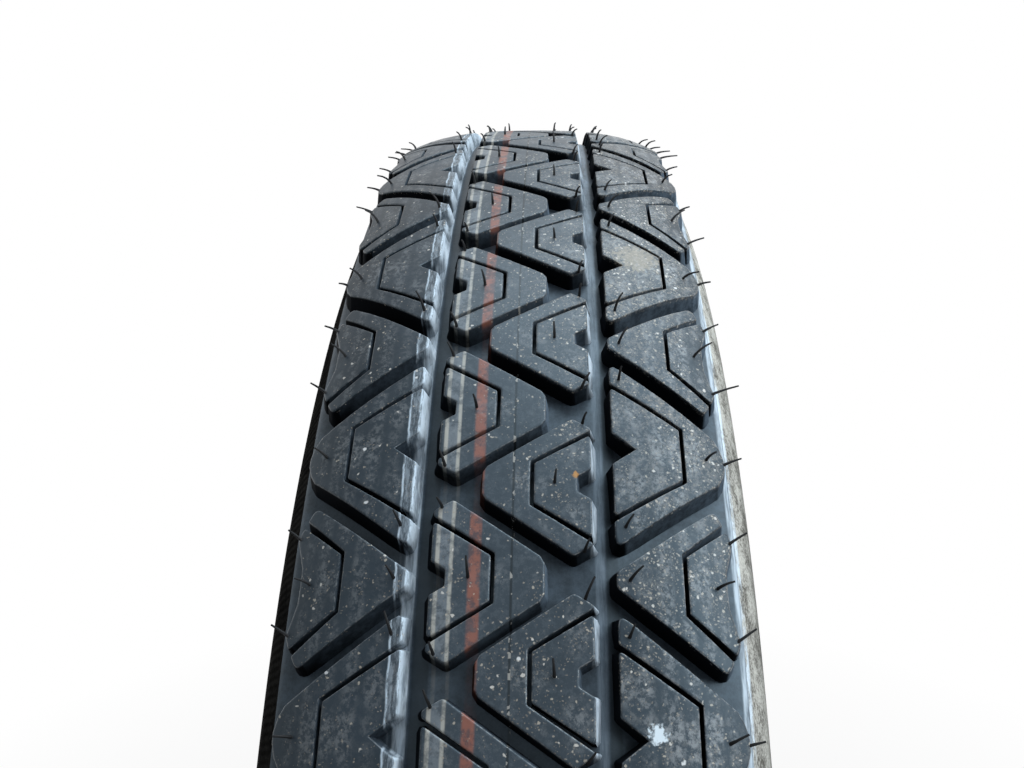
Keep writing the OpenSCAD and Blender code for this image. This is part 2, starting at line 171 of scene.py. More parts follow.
def block_form(plan, cuts):
    """One piece of a tread block in flat (w, t, depth), from its plan at the tread's surface."""
    points = rounded(plan)
    area = sum(a[0] * b[1] - b[0] * a[1] for a, b in zip(points, points[1:] + points[:1]))
    if area < 0:
        # Turned to run anticlockwise; a wall then takes the blended draft of the corner at its end
        points = [(p[0], p[1], points[i - 2][2]) for i, p in reversed(list(enumerate(points)))]
    count = len(points)
    rings = []
    for inset, depth in CREST_RINGS:
        ring = offset(points, [-inset] * count)
        rings.append([(x, y, depth) for x, y in ring])
    foot = offset(points, [p[2] * (GROOVE_DEPTH + SUNK) for p in points])
    rings.append([(x, y, crown(x) - floor_radius(x) + SUNK) for x, y in foot])
    form = bmesh.new()
    made = [[form.verts.new(p) for p in ring] for ring in rings]
    for inner, outer in zip(made, made[1:]):
        for i in range(count):
            j = (i + 1) % count
            form.faces.new((inner[i], outer[i], outer[j], inner[j]))
    for triangle in tessellate_polygon([[Vector(p) for p in rings[0]]]):
        if len(set(triangle)) == 3:
            form.faces.new([made[0][k] for k in triangle])
    for w in cuts:
        everything = form.verts[:] + form.edges[:] + form.faces[:]
        bmesh.ops.bisect_plane(
            form, geom=everything, dist=1e-4, plane_co=(w, 0, 0), plane_no=(1, 0, 0))
    bmesh.ops.recalc_face_normals(form, faces=form.faces[:])
    form.verts.index_update()
    verts = np.array([v.co for v in form.verts])
    faces = [[v.index for v in f.verts] for f in form.faces]
    top = max(form.faces, key=lambda f: -f.calc_center_median().z)
    if top.normal.z > 0:
        faces = [f[::-1] for f in faces]
    form.free()
    return verts, faces


def both_ways(half):
    """A plan from its half at t above nought; the path's last half edge crosses to the other side."""
    other = []
    for i in range(len(half) - 1, -1, -1):
        x, y, radius, _ = half[i]
        if y > 1e-6:
            draft = half[i - 1][3] if i else half[0][3]
            other.append((x, -y, radius, draft))
    return list(half) + other


def around(forms, angles, hand=1):
    """Copies of flat forms at angles round the tyre, in metres. Hand -1 puts them on the other side."""
    verts, faces, base = [], [], 0
    for angle in angles:
        for points, polygons in forms:
            w = points[:, 0] * hand
            radius = crown(w) - points[:, 2]
            turn = angle + points[:, 1] / TYRE_R
            verts.append(np.stack([radius * np.cos(turn), w, radius * np.sin(turn)], axis=1) * MM)
            step = 1 if hand > 0 else -1
            faces += [[base + k for k in polygon[::step]] for polygon in polygons]
            base += len(points)
    return np.vstack(verts), faces


def joined(parts):
    """Several (verts, faces) as one."""
    verts, faces, base = [], [], 0
    for points, polygons in parts:
        verts.append(points)
        faces += [[base + k for k in polygon] for polygon in polygons]
        base += len(points)
    return np.vstack(verts), faces


def lathe(profile, steps):
    """A closed profile of (radius, w) points in millimetres, turned about the axle."""
    profile = np.array(profile)
    count = len(profile)
    angles = np.arange(steps) * math.tau / steps
    verts = np.stack([
        np.outer(np.cos(angles), profile[:, 0]),
        np.tile(profile[:, 1], (steps, 1)),
        np.outer(np.sin(angles), profile[:, 0])], axis=2).reshape(-1, 3) * MM
    faces = []
    for i in range(steps):
        a, b = i * count, (i + 1) % steps * count
        for k in range(count):
            j = (k + 1) % count
            faces.append([a + k, a + j, b + j, b + k])
    return verts, faces


def tube(rings, sides):
    """Faces of a tube without its ends, whose points come ring by ring."""
    faces = []
    for k in range(rings - 1):
        for i in range(sides):
            j = (i + 1) % sides
            a, b = k * sides, (k + 1) * sides
            faces.append([a + i, a + j, b + j, b + i])
    return faces


# Tread blocks

small_nose = 1.7
big_half = PITCH / 2 - small_nose - SHOULDER_GROOVE_W / math.cos(SHOULDER_SLANT)


def big_at(w):
    """Half length of a big shoulder block at w."""
    return big_half - (w - SHOULDER_START) * SHOULDER_RISE


# Drafts of the edges: an outer wall, a wall of a sipe, and a wall of a groove round the tyre
WALL = BLOCK_DRAFT
SIPE = 0.0
RING = RING_DRAFT
# Half a sipe's width in the plans: G along w, TURN along t at its corner, and G and END along t at its ends
G = SIPE_HALF_W
TURN = 0.25
END = 0.2
# Where the blocks' tops are cut along w, so that they follow the crown
RIB_CUTS = (-2, 4, 10)
SHOULDER_CUTS = (26, 31, 36, 40.5, 44.5, 48)
# Plans of the blocks' pieces, each as its half at t above nought: (w, t, corner radius, draft)
small_outer = both_ways([
    (37.75, 0.0, 0, SIPE),
    (38.2 - G, 6.8 + TURN, 0.5, SIPE),
    (47.9, 15.3 + G + 0.3, 0.6, WALL),
    (46.2, 19.2, 1.9, WALL),
    (SHOULDER_START, small_nose, 1.4, RING)][::-1])
small_inner = both_ways([
    (47.7, 0.0, 0, WALL),
    (47.8, 4.2, 1.0, WALL),
    (49.8, 11.4, 1.2, WALL),
    (48.7, 14.6, 0.7, SIPE),
    (38.2 + G, 6.8 - TURN, 0.5, SIPE)])
big_outer = both_ways([
    (39.7 + G, 7.3 + TURN, 0.6, SIPE),
    (SHOULDER_START, 18.6 + G + END, 0.7, RING),
    (SHOULDER_START, big_half, 1.9, WALL),
    (SHOULDER_EDGE - 2.2, big_at(SHOULDER_EDGE - 2.2), 1.2, WALL),
    (SHOULDER_EDGE - 0.8, 4.1, 1.2, WALL),
    (SHOULDER_EDGE, 1.2, 1.0, WALL)])
big_inner = both_ways([
    (28.5, 0.0, 0, WALL),
    (SHOULDER_START, 4.3, 0.7, RING),
    (SHOULDER_START, 18.6 - G - END, 0.7, SIPE),
    (39.7 - G, 7.3 - TURN, 0.6, SIPE)])


def rib_forms(half):
    """The two pieces of a rib block, which the sipe parts."""
    outer = both_ways([
        (4.2 - G, 5.4 + TURN, 0.6, SIPE),
        (RIB_HALF_W, 14.0 + G + END, 0.6, RING),
        (RIB_HALF_W, half + RIB_HALF_W * RIB_RISE - 5.4, 0.8, WALL),
        (RIB_HALF_W - 4.2, half + (RIB_HALF_W - 4.2) * RIB_RISE, 1.2, WALL),
        (1 - RIB_TIP, half + (1 - RIB_TIP) * RIB_RISE, 0.8, WALL),
        (-RIB_TIP, half + (1 - RIB_TIP) * RIB_RISE - 1.6, 0.7, WALL)])
    inner = both_ways([
        (RIB_HALF_W - 3.3, 1.9, 0.8, WALL),
        (RIB_HALF_W, 3.9, 0.6, RING),
        (RIB_HALF_W, 14.0 - G - END, 0.7, SIPE),
        (4.2 + G, 5.4 - TURN, 0.6, SIPE)])
    return [block_form(outer, RIB_CUTS), block_form(inner, RIB_CUTS)]


small_forms = [block_form(plan, SHOULDER_CUTS) for plan in (small_outer, small_inner)]
big_forms = [block_form(plan, SHOULDER_CUTS) for plan in (big_outer, big_inner)]
small_angles = [i * SHOULDER_STEP for i in range(SHOULDER_PITCHES)]
big_angles = [angle + SHOULDER_STEP / 2 for angle in small_angles]
left_angles = [i * RIB_STEP for i in range(round(math.tau / RIB_STEP))]
right_angles = [angle + RIGHT_LEAD for angle in left_angles]
shoulder_parts = [
    around(forms, angles, hand)
    for hand in (-1, 1)
    for forms, angles in ((small_forms, small_angles), (big_forms, big_angles))]
rib_parts = [
    around(rib_forms(LEFT_HALF), left_angles, -1),
    around(rib_forms(RIGHT_HALF), right_angles)]

# Carcass

WIDEST_R = 266.7
WIDEST_W = 61.4
# The left sidewall bulges a little more, blended in over BULGE_BLEND beyond the buttress and above BEAD_TOP_R
LEFT_BULGE = 0.6
BULGE_BLEND = 4
BEAD_TOP_R = 250
BUTTRESS = (296.6, 52.2)
ARC_STEPS = 12
FLOOR_STEPS = (0, 6, 12, 17, 20.5, 21.8, 26, 32, 38, 44, 48, 50.4)
# Points as (radius, w): the ledge under the blocks, the wall down to the bead, the bead, and the inside
LEDGE = ((301.6, 51.5), (300.2, 51.8), (298.6, 51.9))
LOWER_WALL = ((262.7, 61.4), (259.4, 61.35), (256.8, 60.9), (254.4, 59.5), (252.2, 57.6), (250.6, 56.0))
BEAD = (
    (249.5, 54.5), (248.9, 50.8), (246.8, 48.55), (244.7, 46.35), (242.1, 44.9), (238.8, 44.3),
    (231.2, 44.3), (229.8, 42.6), (229.8, 28.9), (232.3, 28.8), (241.5, 31.0))
INSIDE = (
    (246.0, 43.8), (256.0, 53.4), (270.0, 55.6), (281.0, 54.2), (291.0, 49.6), (297.5, 41.0),
    (302.0, 26.0), (303.8, 12.0), (304.0, 0.0))
bulge = WIDEST_W - BUTTRESS[1]
rise = BUTTRESS[0] - WIDEST_R
wall_arc = (bulge ** 2 + rise ** 2) / (2 * bulge)
wall_turn = math.asin(rise / wall_arc)
half_profile = [(float(floor_radius(w)), w) for w in FLOOR_STEPS]
half_profile += [*LEDGE, BUTTRESS]
for i in range(1, ARC_STEPS + 1):
    a = wall_turn * (1 - i / ARC_STEPS)
    half_profile.append((WIDEST_R + wall_arc * math.sin(a), WIDEST_W - wall_arc * (1 - math.cos(a))))
half_profile += [*LOWER_WALL, *BEAD, *INSIDE]
left_profile = [
    (r, -w - LEFT_BULGE * min(1, max(0, (w - BUTTRESS[1]) / BULGE_BLEND)) * (r > BEAD_TOP_R))
    for r, w in reversed(half_profile[1:-1])]
whole_profile = half_profile + left_profile


# Materials


class Nodes:
    """Short names for building a material's node tree."""

    def __init__(self, name):
        self.material = bpy.data.materials.new(name)
        self.material.use_nodes = True
        self.tree = self.material.node_tree
        self.shader = self.tree.nodes["Principled BSDF"]
        self.place = self.add("ShaderNodeTexCoord").outputs["Object"]

    def add(self, kind, **settings):
        node = self.tree.nodes.new(kind)
        for key, value in settings.items():
            setattr(node, key, value)
        return node

    def feed(self, socket, value):
        if isinstance(value, bpy.types.NodeSocket):
            self.tree.links.new(value, socket)
        else:
            socket.default_value = value

    def math(self, operation, a, b=None, clamp=False):
        node = self.add("ShaderNodeMath", operation=operation, use_clamp=clamp)
        for socket, value in zip(node.inputs, (a, b)):
            if value is not None:
                self.feed(socket, value)
        return node.outputs[0]

    def noise(self, scale, detail, rough, stretch=None):
        node = self.add("ShaderNodeTexNoise")
        place = self.place
        if stretch:
            mapping = self.add("ShaderNodeMapping")
            mapping.inputs["Scale"].default_value = stretch
            self.feed(mapping.inputs["Vector"], place)
            place = mapping.outputs[0]
        self.feed(node.inputs["Vector"], place)
        node.inputs["Scale"].default_value = scale
        node.inputs["Detail"].default_value = detail
        node.inputs["Roughness"].default_value = rough
        return node.outputs["Fac"]

    def ramp(self, value, low, high, to_low=0.0, to_high=1.0):
        """A smooth step from one value to another as value goes from low to high."""
        node = self.add("ShaderNodeMapRange", interpolation_type="SMOOTHSTEP")
        self.feed(node.inputs["Value"], value)
        for key, number in zip(("From Min", "From Max", "To Min", "To Max"), (low, high, to_low, to_high)):
            node.inputs[key].default_value = number
        return node.outputs[0]

    def band(self, value, low, high, soft):
        """1 between low and high, falling to 0 over soft on both sides."""
        return self.times(
            self.ramp(value, low - soft, low + soft), self.ramp(value, high - soft, high + soft, 1, 0))

    def bands(self, value, places, soft):
        """1 within any of several (low, high) places."""
        return self.most(*[self.band(value, low, high, soft) for low, high in places])

    def times(self, first, *others):
        for other in others:
            first = self.math("MULTIPLY", first, other)
        return first

    def plus(self, first, second):
        return self.math("ADD", first, second)

    def less(self, first, second):
        return self.math("SUBTRACT", first, second)

    def most(self, first, second):
        return self.math("MAXIMUM", first, second)

    def mix(self, share, a, b):
        node = self.add("ShaderNodeMix", data_type="RGBA")
        self.feed(node.inputs["Factor"], share)
        self.feed(node.inputs["A"], a)
        self.feed(node.inputs["B"], b)
        return node.outputs["Result"]

    def bump(self, height, strength, distance, normal=None):
        node = self.add("ShaderNodeBump")
        self.feed(node.inputs["Height"], height)
        node.inputs["Strength"].default_value = strength
        node.inputs["Distance"].default_value = distance
        if normal is not None:
            self.feed(node.inputs["Normal"], normal)
        return node.outputs[0]


def grey(value, tint=(1, 1, 1)):
    """A colour from its brightness and a slight tint."""
    return (value * tint[0], value * tint[1], value * tint[2], 1)


# Places on the tyre as (low, high) along w, in millimetres
RED_STRIPE = (-9.5, -6.9)
WASH = (-16.4, -13.2)
CREAM_STRIPES = ((-16.8, -15.9), (-13.7, -12.9))
CHALK = (-25.6, -22.6)
CHALK_LEFT_RIM = (-25.7, -25.25)
CHALK_RIGHT_RIM = (-23.4, -22.5)
RIB_TOP = (-17.4, 17.6)
LIT_GROOVE_WALLS = ((-23.4, -20.9), (17.4, 19.9))
# Painted shade: groove floors beside the walls that face the left
SHADED_GROOVE_FLOORS = ((21.0, 23.6), (-21.1, -17.4))
# Painted light: the left half of the right ring groove's floor
LIT_GROOVE_FLOOR = (18.6, 20.7)
# Where painted highlights and powder fill the grooves' mouths
GROOVE_MOUTHS = ((-24.4, -21.6), (50.2, 51.4))
# Where the painted reflection lies on the right buttress
RIGHT_BUTTRESS = (50.6, 53.6)
PARTING_HALF_W = 0.28
# Places along the radius: the tread's lower limit, the sidewall's ribs, and where the dust and the sidewalls'
# painted shade and light thin out
TREAD_FROM = (297.5, 299.0)
WALL_RIBS = (281.0, 294.5)
WALL_FADE = (270, 291)

# Colours of the tyre
RUBBER_DARK = grey(0.016, (0.72, 1.0, 1.34))
RUBBER_LIGHT = grey(0.031, (0.74, 1.0, 1.32))
# Painted shade: near black for the grooves and steep walls
RECESS_SHADE = grey(0.003, (0.8, 1.0, 1.35))
# Painted shade for those groove floors
FLOOR_SHADE = grey(0.004, (0.8, 1.0, 1.35))
# Painted shade: darkening towards the tread's left edge
LEFT_EDGE_SHADE = grey(0.005, (0.8, 1.0, 1.3))
# Partly mould powder, partly painted light on floors and right-facing walls
POWDER_AND_PAINTED_LIGHT = grey(0.115, (0.76, 1.0, 1.28))
# Painted light in a groove's floor, streaked
GROOVE_FLOOR_LIGHT = grey(0.30, (0.82, 1.0, 1.2))
# Partly powder, partly painted highlight on lit groove walls and mouths
GROOVE_POWDER_AND_GLINT = grey(0.56, (0.88, 1.0, 1.12))
DRY_HAZE = grey(0.22, (1.02, 1.0, 0.96))
# Painted sheen: the middle rib's tops lighter and bluish
RIB_TOP_SHEEN = grey(0.14, (0.84, 1.0, 1.16))
# Painted highlight along the blocks' crests
CREST_HIGHLIGHT = grey(0.22, (0.96, 1.0, 1.04))
RED_PAINT = (0.26, 0.092, 0.058, 1)
WASH_PAINT = grey(0.30, (0.9, 1.0, 1.1))
CREAM_PAINT = grey(0.36, (1.04, 1.0, 0.90))
CHALK_WHITE = grey(0.55, (0.86, 1.0, 1.14))
PARTING_DARK = grey(0.004)
PARTING_PALE = grey(0.30, (1.05, 1.0, 0.92))
# Painted reflection on the right buttress's walls that face the right
BUTTRESS_GLINT = grey(0.72, (0.88, 1.0, 1.12))
# Painted shade on the left sidewall near the tread, painted light with dust on the right one
LEFT_WALL_DUST_SHADED = grey(0.032, (1.08, 1.0, 0.90))
LEFT_WALL_RUBBER_SHADED = grey(0.011, (1.04, 1.0, 0.96))
RIGHT_WALL_DUST_LIT = grey(0.50, (1.04, 1.0, 0.91))
RIGHT_WALL_RUBBER_LIT = grey(0.07, (1.10, 1.0, 0.86))
LOWER_WALL_DUST = grey(0.075, (1.06, 1.0, 0.92))
LOWER_WALL_RUBBER = grey(0.034, (0.98, 1.0, 1.03))
SHEEN = (0.64, 0.85, 1.0, 1)

# Grit on the tread: cells a metre, size in cells, share on the left, share on the right, strength,
# brightness and tint
SPECKS = (
    (2100, 0.45, 0.05, 0.34, 0.6, 0.17, (1.16, 1.0, 0.82)),
    (1350, 0.38, 0.04, 0.34, 0.7, 0.26, (1.14, 1.0, 0.84)),
    (900, 0.33, 0.04, 0.24, 0.8, 0.36, (1.12, 1.0, 0.84)),
    (560, 0.25, 0.05, 0.22, 0.9, 0.52, (1.06, 1.0, 0.92)),
    (250, 0.15, 0.04, 0.12, 0.9, 0.66, (1.0, 1.0, 1.0)),
    (110, 0.10, 0.05, 0.08, 0.9, 0.6, (1.1, 1.0, 0.86)))

# Single marks: place along w, angle round the axle in degrees, reach, strength, colour
AMBER_BIT = (14.3, 52.62, 0.9, 0.9, (0.42, 0.20, 0.05, 1))
WHITE_SPLASH = (30.49, 42.23, 2.2, 0.95, grey(0.75, (0.90, 1.0, 1.08)))
MUD_PATCH = (32.46, 66.82, 7.5, 0.55, grey(0.25, (1.2, 1.0, 0.72)))


def tyre_material():
    """Moulded rubber with paint stripes, powder, dust and specks on the tread, painted shade in its grooves,
    painted light and highlights on its lit walls, and dusty ribbed sidewalls painted dark on the left and
    pale on the right.
    """
    n = Nodes("tyre_rubber")
    split = n.add("ShaderNodeSeparateXYZ")
    n.feed(split.inputs[0], n.place)
    x, y, z = split.outputs
    w = n.times(y, 1 / MM)
    radius_m = n.math("SQRT", n.plus(n.times(x, x), n.times(z, z)))
    radius = n.times(radius_m, 1 / MM)
    turn = n.math("ARCTAN2", z, x)
    w_square = n.times(w, w)
    fall = n.plus(n.times(w_square, CROWN_SQUARE), n.times(w_square, w_square, CROWN_FOURTH))
    depth = n.less(n.less(TYRE_R, fall), radius)
    facing = n.add("ShaderNodeSeparateXYZ")
    n.feed(facing.inputs[0], n.add("ShaderNodeTexCoord").outputs["Normal"])
    nx, ny, nz = facing.outputs
    outward = n.math("DIVIDE", n.plus(n.times(nx, x), n.times(nz, z)), radius_m)

    # Masks by place
    on_top = n.ramp(depth, 0.2, 1.6, 1, 0)
    below = n.ramp(depth, 0.15, 0.8)
    deep = n.ramp(depth, 2.0, GROOVE_DEPTH)
    on_tread = n.ramp(radius, *TREAD_FROM)
    flat_floor = n.times(n.ramp(depth, 3.0, 4.5), n.ramp(outward, 0.45, 0.85))
    steep = n.times(below, n.ramp(outward, 0.45, 0.85, 1, 0))
    right_wall = n.times(below, n.ramp(ny, 0.35, 0.8))

    # Patterns that several layers share
    fine = n.noise(900, 4, 0.6)
    cloud = n.noise(38, 5, 0.6)
    broad = n.noise(9, 3, 0.5)
    streak = n.noise(120, 3, 0.6, stretch=(1, 0.15, 1))
    lines = n.ramp(n.noise(330, 4, 0.7, stretch=(0.25, 2.2, 0.25)), 0.34, 0.62, 0.25, 1.0)
    grime_and_sheen = n.ramp(n.noise(520, 6, 0.85), 0.46, 0.62)
    worn = n.ramp(n.noise(260, 4, 0.7), 0.36, 0.6)

    # Bare rubber, with painted shade: black in the grooves and on steep walls, and darker towards the left
    # edge
    colour = n.mix(n.ramp(cloud, 0.3, 0.75), RUBBER_DARK, RUBBER_LIGHT)
    colour = n.mix(n.most(n.times(deep, 0.85), n.times(steep, 0.95)), colour, RECESS_SHADE)
    # Painted shade towards the left edge
    colour = n.mix(n.ramp(w, -52, -26, 0.35, 0.0), colour, LEFT_EDGE_SHADE)

    # Partly mould powder, partly painted light: a pale bluish tone on the grooves' floors and on walls that
    # face the right, as where light from the right falls
    powder_and_light_grain = n.ramp(n.noise(300, 4, 0.75), 0.3, 0.7, 0.45, 1.25)
    powder_and_light = n.math(
        "MAXIMUM", n.times(flat_floor, 0.45, powder_and_light_grain), n.times(right_wall, powder_and_light_grain), clamp=True)
    colour = n.mix(powder_and_light, colour, POWDER_AND_PAINTED_LIGHT)
    # Painted shade on the ring grooves' floors beside the walls that face the left
    colour = n.mix(n.times(n.bands(w, SHADED_GROOVE_FLOORS, 0.35), below, 0.8), colour, FLOOR_SHADE)
    # Painted light on the left half of the right ring groove's floor, in streaks
    colour = n.mix(n.times(n.band(w, *LIT_GROOVE_FLOOR, 0.4), below, lines, 0.45), colour, GROOVE_FLOOR_LIGHT)
    # Painted highlights, partly powder, on groove walls that face the right and in the grooves' mouths
    lit = n.times(n.bands(w, LIT_GROOVE_WALLS, 0.3), right_wall, lines)
    mouth = n.times(n.bands(w, GROOVE_MOUTHS, 0.3), n.ramp(depth, 1.5, 4.0), lines, 0.9)
    colour = n.mix(n.most(lit, mouth), colour, GROOVE_POWDER_AND_GLINT)

    # Haze of dry dust, stronger on the right half, and a painted sheen of light on the middle rib's tops
    patch = n.ramp(n.plus(cloud, n.times(broad, 0.6)), 0.66, 1.0)
    haze = n.times(patch, grime_and_sheen, n.plus(n.times(n.ramp(w, -12, 34), 0.62), 0.07))
    colour = n.mix(n.times(haze, on_top), colour, DRY_HAZE)
    rib_sheen = n.times(n.band(w, *RIB_TOP, 0.5), on_top, n.ramp(grime_and_sheen, 0, 1, 0.12, 0.26))
    colour = n.mix(rib_sheen, colour, RIB_TOP_SHEEN)

    # Painted highlights along the crests, pale and flecked, stronger towards the right
    crest_glint = n.times(n.band(depth, 0.04, 0.30, 0.03), n.ramp(n.noise(700, 4, 0.75), 0.42, 0.62))
    colour = n.mix(n.times(crest_glint, n.ramp(w, -30, 30, 0.45, 0.9)), colour, CREST_HIGHLIGHT)

    # Paint stripes run round the tyre, faint in the grooves
    painted = n.ramp(depth, 0.3, 2.5, 1, 0.18)
    w_drift = n.plus(w, n.times(n.less(n.noise(14, 2, 0.5), 0.5), 1.6))
    red = n.times(n.band(w_drift, *RED_STRIPE, 0.35), n.ramp(worn, 0, 1, 0.20, 0.74), painted)
    colour = n.mix(red, colour, RED_PAINT)
    wash = n.times(n.band(w_drift, *WASH, 0.3), n.ramp(worn, 0, 1, 0.10, 0.36), painted)
    colour = n.mix(wash, colour, WASH_PAINT)
    for low, high in CREAM_STRIPES:
        cream = n.times(n.band(w_drift, low, high, 0.2), n.ramp(worn, 0, 1, 0.3, 0.85), painted)
        colour = n.mix(cream, colour, CREAM_PAINT)

    # Chalky band on the left shoulder, brightest at its rims
    ragged_w = n.plus(w_drift, n.times(n.less(streak, 0.5), 1.6))
    scratch = n.ramp(n.noise(420, 5, 0.8, stretch=(0.5, 2.6, 0.5)), 0.38, 0.64)
    chalk = n.times(n.band(ragged_w, *CHALK, 0.35), n.ramp(scratch, 0, 1, 0.04, 0.36))
    rims = n.most(n.band(ragged_w, *CHALK_LEFT_RIM, 0.2), n.band(ragged_w, *CHALK_RIGHT_RIM, 0.25))
    rims = n.times(rims, n.ramp(n.plus(scratch, n.times(cloud, 1.2)), 0.5, 1.25, 0.2, 1.0))
    chalk = n.times(n.most(chalk, rims), n.ramp(depth, 0.8, 3.0, 1, 0.1))
    colour = n.mix(chalk, colour, CHALK_WHITE)

    # Specks of grit and dried splashes, in clusters
    jitter = n.add("ShaderNodeTexNoise")
    n.feed(jitter.inputs["Vector"], n.place)
    jitter.inputs["Scale"].default_value = 900
    wobble = n.add("ShaderNodeVectorMath", operation="MULTIPLY_ADD")
    n.feed(wobble.inputs[0], jitter.outputs["Color"])
    wobble.inputs[1].default_value = (0.0011, 0.0011, 0.0011)
    n.feed(wobble.inputs[2], n.place)
    cluster = n.ramp(n.plus(n.noise(55, 4, 0.7), n.times(broad, 0.5)), 0.62, 0.9, 0.12, 1.0)
    for scale, size, few, many, amount, bright, tint in SPECKS:
        cells = n.add("ShaderNodeTexVoronoi", feature="F1")
        n.feed(cells.inputs["Vector"], wobble.outputs[0])
        cells.inputs["Scale"].default_value = scale
        speck = n.ramp(cells.outputs["Distance"], size * 0.55, size, 1, 0)
        chosen = n.add("ShaderNodeSeparateColor")
        n.feed(chosen.inputs[0], cells.outputs["Color"])
        chance = n.times(cluster, n.ramp(w, -14, 34, few * 2, many * 2))
        rare = n.math("LESS_THAN", chosen.outputs[0], chance)
        colour = n.mix(n.times(speck, rare, on_top, amount), colour, grey(bright, tint))

    # Single marks with ragged edges
    for mark_w, mark_turn, reach, amount, tone in (AMBER_BIT, WHITE_SPLASH, MUD_PATCH):
        across = n.less(w, mark_w)
        round_tyre = n.times(n.less(turn, math.radians(mark_turn)), TYRE_R)
        away = n.math("SQRT", n.plus(n.times(across, across), n.times(round_tyre, round_tyre)))
        ragged = n.plus(n.math("DIVIDE", away, reach), n.times(n.less(fine, 0.5), 2.4))
        colour = n.mix(n.times(n.ramp(ragged, 0.5, 1.0, 1, 0), on_top, amount), colour, tone)

    # The mould's parting line, with its tiny marks
    line = n.band(w, -PARTING_HALF_W, PARTING_HALF_W, 0.12)
    dash = n.math("GREATER_THAN", n.noise(420, 2, 0.6), 0.58)
    colour = n.mix(n.times(line, 0.8), colour, n.mix(dash, PARTING_DARK, PARTING_PALE))

    # Sidewalls: brown dust near the tread, painted shade making the left one dark, dust and painted light
    # making the right one pale, and an even grey lower down
    wall_dust = n.ramp(n.plus(n.noise(110, 5, 0.7), n.times(n.noise(1500, 3, 0.7), 0.8)), 0.66, 1.1)
    near_tread = n.ramp(radius, *WALL_FADE)
    right = n.times(n.ramp(w, -20, 20), near_tread)
    dust = n.mix(right, n.mix(near_tread, LOWER_WALL_DUST, LEFT_WALL_DUST_SHADED), RIGHT_WALL_DUST_LIT)
    bare = n.mix(right, n.mix(near_tread, LOWER_WALL_RUBBER, LEFT_WALL_RUBBER_SHADED), RIGHT_WALL_RUBBER_LIT)
    colour = n.mix(on_tread, n.mix(wall_dust, bare, dust), colour)
    # Painted reflection: pale streaks on the right buttress's walls that face the right
    edge_streak = n.ramp(n.noise(360, 5, 0.8, stretch=(0.3, 1.6, 0.3)), 0.40, 0.60, 0.04, 1.0)
    edge_glint = n.times(n.band(w, *RIGHT_BUTTRESS, 0.35), n.ramp(ny, 0.5, 0.9), edge_streak)
    colour = n.mix(edge_glint, colour, BUTTRESS_GLINT)
    n.feed(n.shader.inputs["Base Color"], colour)

    # Dust, the grooves' walls and the sidewalls are duller than the tread's top
    dusty = n.math("ADD", n.times(haze, 0.9), n.times(chalk, 0.3), clamp=True)
    rough = n.math("ADD", n.ramp(cloud, 0.25, 0.8, 0.36, 0.50), n.times(dusty, 0.3), clamp=True)
    rough = n.math("ADD", rough, n.times(n.less(1.0, on_tread), 0.25), clamp=True)
    rough = n.math("ADD", rough, n.times(steep, 0.35), clamp=True)
    n.feed(n.shader.inputs["Roughness"], rough)
    shine = n.times(n.ramp(steep, 0, 1, 0.34, 0.02), n.most(on_tread, n.ramp(radius, *WALL_FADE, 1.3, 0.02)))
    n.feed(n.shader.inputs["Specular IOR Level"], shine)
    n.shader.inputs["Specular Tint"].default_value = SHEEN

    # Rings on both sidewalls, fine ribs on the left one, and a grain all over
    rings = n.math("SINE", n.times(radius, 5.2))
    ribs = n.math("SINE", n.times(turn, 900.0))
    rib_zone = n.times(n.band(radius, *WALL_RIBS, 0.5), n.ramp(w, 0, 1, 1, 0))
    relief = n.times(n.plus(n.times(rings, 0.25), n.times(ribs, rib_zone)), n.less(1.0, on_tread))
    normal = n.bump(relief, 0.5, 0.00025)
    normal = n.bump(n.plus(n.times(fine, 0.6), cloud), 0.35, 0.0002, normal)
    n.feed(n.shader.inputs["Normal"], normal)
    return n.material


def plain_material(name, low, high, rough, metallic=0.0, grain=400.0, bump=0.15, tint=(1, 1, 1), shine=0.5):
    """A surface with slight cloudy variation in colour and gloss and a fine grain."""
    n = Nodes(name)
    cloud = n.noise(45, 4, 0.6)
    fine = n.noise(grain, 3, 0.6)
    n.feed(n.shader.inputs["Base Color"], n.mix(n.ramp(cloud, 0.3, 0.7), grey(low, tint), grey(high, tint)))
    gloss = n.plus(cloud, n.times(fine, 0.3))
    n.feed(n.shader.inputs["Roughness"], n.ramp(gloss, 0.4, 0.9, rough - 0.07, rough + 0.09))
    n.shader.inputs["Metallic"].default_value = metallic
    n.shader.inputs["Specular IOR Level"].default_value = shine
    n.feed(n.shader.inputs["Normal"], n.bump(fine, bump, 0.0001))
    return n.material


PAINT_DARK = grey(0.014, (0.97, 1.0, 1.04))
PAINT_LIGHT = grey(0.024, (0.97, 1.0, 1.04))
PAINT_DUST = grey(0.16, (1.1, 1.0, 0.86))


def steel_material():
    """Black dip paint on pressed steel, with dust in patches and a faint orange peel."""
    n = Nodes("wheel_paint")
    cloud = n.noise(16, 5, 0.6)
    peel = n.noise(520, 2, 0.4)
    dust = n.ramp(n.noise(34, 6, 0.7), 0.5, 0.8)
    colour = n.mix(n.ramp(cloud, 0.3, 0.75), PAINT_DARK, PAINT_LIGHT)
    n.feed(n.shader.inputs["Base Color"], n.mix(n.times(dust, 0.2), colour, PAINT_DUST))
    n.feed(n.shader.inputs["Roughness"], n.plus(n.ramp(cloud, 0.3, 0.8, 0.30, 0.42), n.times(dust, 0.25)))
    n.shader.inputs["Coat Weight"].default_value = 0.25
    n.shader.inputs["Coat Roughness"].default_value = 0.22
    n.feed(n.shader.inputs["Normal"], n.bump(n.plus(peel, n.times(cloud, 0.6)), 0.12, 0.0003))
    return n.material


